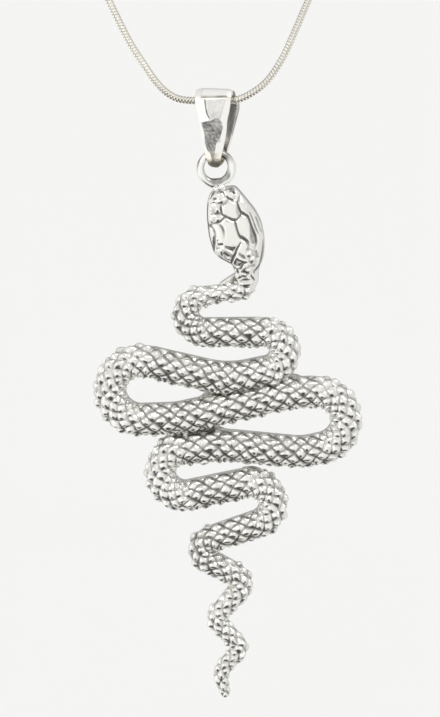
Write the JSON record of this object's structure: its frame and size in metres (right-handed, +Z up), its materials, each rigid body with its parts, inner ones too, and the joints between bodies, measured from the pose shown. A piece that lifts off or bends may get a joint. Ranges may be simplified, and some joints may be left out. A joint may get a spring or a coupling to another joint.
{
  "type": "snake pendant on a chain",
  "caption": "Cast coiled snake pendant with a scaled body, hung by a ring and a faceted strap bail on a whole loop of round snake chain.",
  "frame": {"origin": "where the chain's loop lies on the nape, at the middle of the hidden clasp", "axes": "+Z up, -Y the way the pendant's face looks, +X to the right of somebody who looks at the pendant"},
  "size_m": [0.117, 0.1094, 0.2074],
  "materials": {
    "cast_silver": "polished, dark in the grooves",
    "polished_silver": "polished",
    "chain_silver": "polished links"
  },
  "bodies": {
    "necklace": {"chain": "chain_silver", "clasp": "polished_silver"},
    "bail_body": {"bail": "polished_silver"},
    "snake_body": {"snake": "cast_silver"}
  },
  "joints": [
    {"name": "bail_swing", "type": "hinge", "parent": "necklace", "child": "bail_body", "pos_m": [0, -0.106, -0.126], "axis": [0.9611, -0.2756, 0.0168], "range_deg": [-90, 90]},
    {"name": "snake_swing", "type": "hinge", "parent": "bail_body", "child": "snake_body", "pos_m": [0.00013, -0.106, -0.13325], "axis": [1, 0, 0], "range_deg": [-60, 60]}
  ]
}
